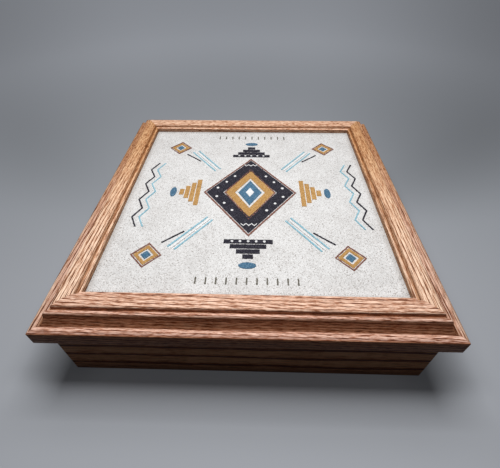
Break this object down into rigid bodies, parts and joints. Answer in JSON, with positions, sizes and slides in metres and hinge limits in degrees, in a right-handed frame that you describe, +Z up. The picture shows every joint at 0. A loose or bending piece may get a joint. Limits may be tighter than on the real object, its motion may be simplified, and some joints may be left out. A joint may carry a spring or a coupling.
{
  "type": "wooden box",
  "caption": "Square oak keepsake box whose hinged, moulded lid frames a sand-painted board",
  "frame": {"origin": "centre of the base, at the height of the surface the box rests on", "axes": "+X to the right and +Z up, seen from the front; the front of the box faces -Y and the hinges are at +Y"},
  "size_m": [0.242, 0.242, 0.0692],
  "materials": {
    "lid_oak": "satin clear-coated red oak",
    "wall_oak": "satin clear-coated red oak",
    "sand": "glued fine sand",
    "hardboard": "plain hardboard",
    "felt": "matt felt",
    "brass": "plain rolled brass"
  },
  "bodies": {
    "box": {"wall_front": "wall_oak", "wall_right": "wall_oak", "wall_back": "wall_oak", "wall_left": "wall_oak", "bottom_panel": "hardboard", "floor_felt": "felt", "hinge_left_box_leaf": "brass", "hinge_left_pin": "brass", "hinge_left_box_screw_1": "brass", "hinge_left_box_screw_2": "brass", "hinge_right_box_leaf": "brass", "hinge_right_pin": "brass", "hinge_right_box_screw_1": "brass", "hinge_right_box_screw_2": "brass"},
    "lid": {"lid_rail_front": "lid_oak", "lid_rail_right": "lid_oak", "lid_rail_back": "lid_oak", "lid_rail_left": "lid_oak", "sand_painting_board": "sand", "lid_lining_board": "hardboard", "lid_felt": "felt", "hinge_left_lid_leaf": "brass", "hinge_left_lid_screw_1": "brass", "hinge_left_lid_screw_2": "brass", "hinge_right_lid_leaf": "brass", "hinge_right_lid_screw_1": "brass", "hinge_right_lid_screw_2": "brass"}
  },
  "joints": [
    {"name": "lid_hinge", "type": "hinge", "parent": "box", "child": "lid", "pos_m": [0, 0.1162, 0.04815], "axis": [-1, 0, 0], "range_deg": [0, 106]}
  ]
}
